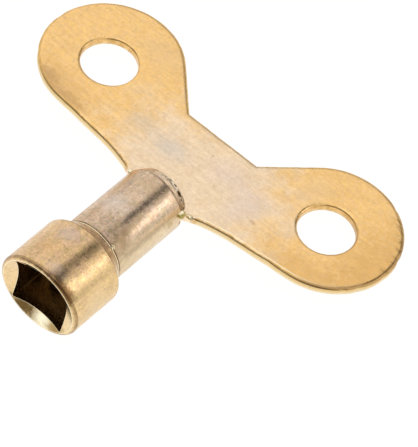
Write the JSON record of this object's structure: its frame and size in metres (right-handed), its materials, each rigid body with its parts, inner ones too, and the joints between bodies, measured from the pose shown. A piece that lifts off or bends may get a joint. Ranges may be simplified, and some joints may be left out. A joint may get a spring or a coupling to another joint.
{
  "type": "radiator bleed key",
  "caption": "Key with a flat winged handle brazed into a slotted round shank that ends in a square socket, for turning radiator bleed valves.",
  "frame": {"origin": "centre of the socket's mouth", "axes": "+Y from the mouth along the shank to the handle, +X along the two ears, +Z out of the handle plate's face"},
  "size_m": [0.0434, 0.0348, 0.0094],
  "materials": {
    "handle_plating": "satin brass plating, paler and greyer towards the shank, fine tumbling marks",
    "shank_plating": "satin turned surface under thin mottled brass plating",
    "braze": "dull pale filler metal with a few pits"
  },
  "bodies": {
    "root": {"wing_handle": "handle_plating", "socket_shank": "shank_plating", "braze_seam": "braze"}
  },
  "joints": []
}
